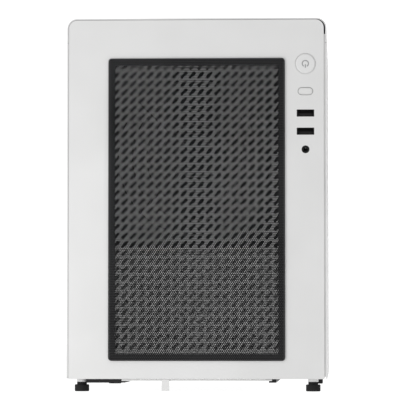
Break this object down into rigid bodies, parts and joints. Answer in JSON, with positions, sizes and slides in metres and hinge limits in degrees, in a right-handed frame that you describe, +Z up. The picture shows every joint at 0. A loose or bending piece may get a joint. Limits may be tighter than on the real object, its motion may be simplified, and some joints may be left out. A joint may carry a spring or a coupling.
{
  "type": "desktop computer tower",
  "caption": "Compact white desktop computer tower with a perforated front behind a black magnetic dust filter, front ports, feet and its working parts inside.",
  "frame": {"origin": "on the floor, under the middle of the whole computer", "axes": "+Z up, front facing -Y, +X to the right seen from the front"},
  "size_m": [0.215, 0.3856, 0.3085],
  "materials": {
    "white_steel": "fine matt powder coat",
    "white_plastic": "satin",
    "black_plastic": "fine texture",
    "black_rubber": "matt",
    "black_net": "fine net",
    "magnet_strip": "satin",
    "circuit_board": "solder mask",
    "green_board": "solder mask",
    "bare_steel": "satin",
    "brass": "satin",
    "aluminium": "satin",
    "copper": "nickelled copper",
    "black_steel": "fine texture",
    "chrome_wire": "plated"
  },
  "bodies": {
    "chassis": {"front_panel": "white_steel", "bottom_panel": "white_steel", "rear_panel": "white_steel", "top_rails": "white_steel", "motherboard_tray": "white_steel", "foot_front_left": "black_rubber", "foot_front_right": "black_rubber", "foot_rear_left": "black_rubber", "foot_rear_right": "black_rubber", "slot_covers": "white_steel", "bottom_filter_rails": "black_plastic", "power_switch": "black_plastic", "front_io_board": "green_board", "front_io_bracket": "white_steel", "usb_a_ports": "black_plastic", "usb_c_port": "bare_steel", "audio_jack": "black_plastic", "motherboard": "circuit_board", "motherboard_standoffs": "brass", "io_shield": "bare_steel", "rear_io_ports": "bare_steel", "cpu_socket": "bare_steel", "ram_slots": "black_plastic", "ram_modules": "black_plastic", "board_sockets": "black_plastic", "vrm_heatsink": "aluminium", "chipset_heatsink": "aluminium", "m2_ssd": "green_board", "cooler_base": "copper", "cooler_fins": "aluminium", "cooler_fan_frame": "black_plastic", "psu_case": "black_steel", "psu_fan_grille": "chrome_wire", "psu_bracket": "white_steel", "rear_power_inlet": "black_plastic", "ac_extension_cable": "black_rubber", "gpu_board": "circuit_board", "gpu_heatsink": "aluminium", "gpu_shroud": "black_plastic", "rear_fan_frame": "black_plastic", "thumbscrews": "bare_steel", "atx_power_cable": "black_rubber", "cpu_power_cable": "black_rubber", "gpu_power_cable": "black_rubber", "front_io_cable": "black_rubber"},
    "top_cover": {"top_cover": "white_steel"},
    "left_panel": {"left_side_panel": "white_steel"},
    "right_panel": {"right_side_panel": "white_steel"},
    "front_filter": {"front_filter_frame": "magnet_strip", "front_filter_net": "black_net"},
    "bottom_filter": {"bottom_filter_frame": "white_plastic", "bottom_filter_net": "black_net"},
    "power_button": {"power_button": "white_plastic"},
    "usb_c_plug": {"usb_c_plug": "white_plastic"},
    "psu_switch": {"psu_switch": "black_plastic"},
    "psu_fan": {"psu_fan_rotor": "black_plastic"},
    "cooler_fan": {"cooler_fan_rotor": "black_plastic"},
    "rear_fan": {"rear_fan_rotor": "black_plastic"},
    "gpu_fan_front": {"gpu_fan_front": "black_plastic"},
    "gpu_fan_rear": {"gpu_fan_rear": "black_plastic"}
  },
  "joints": [
    {"name": "top_cover_lift", "type": "slide", "parent": "chassis", "child": "top_cover", "axis": [0, 0, 1], "range_m": [0, 0.06]},
    {"name": "left_panel_tilt", "type": "hinge", "parent": "chassis", "child": "left_panel", "pos_m": [-0.1075, 0, 0.0106], "axis": [0, -1, 0], "range_deg": [0, 35]},
    {"name": "right_panel_tilt", "type": "hinge", "parent": "chassis", "child": "right_panel", "pos_m": [0.1075, 0, 0.0106], "axis": [0, 1, 0], "range_deg": [0, 35]},
    {"name": "front_filter_pull", "type": "slide", "parent": "chassis", "child": "front_filter", "axis": [0, -1, 0], "range_m": [0, 0.06]},
    {"name": "bottom_filter_slide", "type": "slide", "parent": "chassis", "child": "bottom_filter", "axis": [0, -1, 0], "range_m": [0, 0.25]},
    {"name": "power_button_press", "type": "slide", "parent": "chassis", "child": "power_button", "axis": [0, 1, 0], "range_m": [0, 0.0015], "stiffness_N_per_m": 800, "springref_m": -0.001},
    {"name": "usb_c_plug_pull", "type": "slide", "parent": "chassis", "child": "usb_c_plug", "axis": [0, -1, 0], "range_m": [0, 0.02]},
    {"name": "psu_switch_rock", "type": "hinge", "parent": "chassis", "child": "psu_switch", "pos_m": [-0.067, -0.14625, 0.1843], "axis": [0, 1, 0], "range_deg": [-8, 8]},
    {"name": "psu_fan_spin", "type": "hinge", "parent": "chassis", "child": "psu_fan", "pos_m": [-0.002, -0.16625, 0.1933], "axis": [0, 1, 0], "continuous": true},
    {"name": "cooler_fan_spin", "type": "hinge", "parent": "chassis", "child": "cooler_fan", "pos_m": [-0.0067, 0.06925, 0.1903], "axis": [0, 1, 0], "continuous": true},
    {"name": "rear_fan_spin", "type": "hinge", "parent": "chassis", "child": "rear_fan", "pos_m": [-0.03495, 0.17275, 0.18555], "axis": [0, 1, 0], "continuous": true},
    {"name": "gpu_fan_front_spin", "type": "hinge", "parent": "chassis", "child": "gpu_fan_front", "pos_m": [0.0189, 0.01385, 0.06175], "axis": [0, 0, 1], "continuous": true},
    {"name": "gpu_fan_rear_spin", "type": "hinge", "parent": "chassis", "child": "gpu_fan_rear", "pos_m": [0.0189, 0.10985, 0.06175], "axis": [0, 0, 1], "continuous": true}
  ]
}
